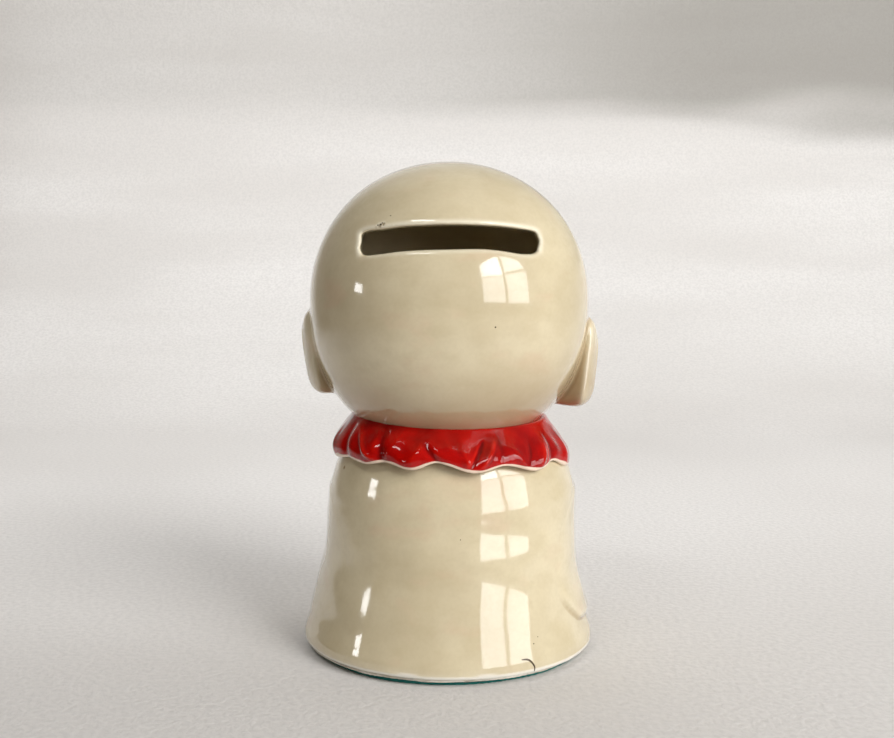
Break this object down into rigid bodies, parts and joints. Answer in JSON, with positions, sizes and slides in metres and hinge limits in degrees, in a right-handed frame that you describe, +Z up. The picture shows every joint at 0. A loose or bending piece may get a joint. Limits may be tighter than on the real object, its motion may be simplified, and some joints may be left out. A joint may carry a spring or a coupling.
{
  "type": "ceramic figural coin bank",
  "caption": "Glazed ceramic coin bank in the form of a small bald figure in a robe and frilled collar, with a coin slot in the back of the head.",
  "frame": {"origin": "centre of the underside of the felt ring, which is what the bank stands on", "axes": "+Z up, +Y towards the back of the head, where the coin slot is, +X to the figure's left; the figure faces -Y"},
  "size_m": [0.0716, 0.0696, 0.115],
  "materials": {
    "cream_glaze": "glossy, slightly uneven clear glaze over a cream body",
    "red_glaze": "glossy red glaze, breaking to pale pink on the frill's edge",
    "bare_clay": "unglazed white clay, matt",
    "teal_felt": "teal felt, matt",
    "plug_rubber": "soft milky plastic, satin"
  },
  "bodies": {
    "figure": {"head_shell": "cream_glaze", "left_ear": "cream_glaze", "right_ear": "cream_glaze", "collar_frill": "red_glaze", "robe_shell": "cream_glaze", "left_sleeve": "cream_glaze", "right_sleeve": "cream_glaze", "left_hand": "cream_glaze", "right_hand": "cream_glaze", "floor_disc": "bare_clay", "foot_ring": "bare_clay", "felt_ring": "teal_felt"},
    "stopper": {"stopper_plug": "plug_rubber"}
  },
  "joints": [
    {"name": "stopper_pull", "type": "slide", "parent": "figure", "child": "stopper", "axis": [0, 0, -1], "range_m": [0, 0.03]}
  ]
}
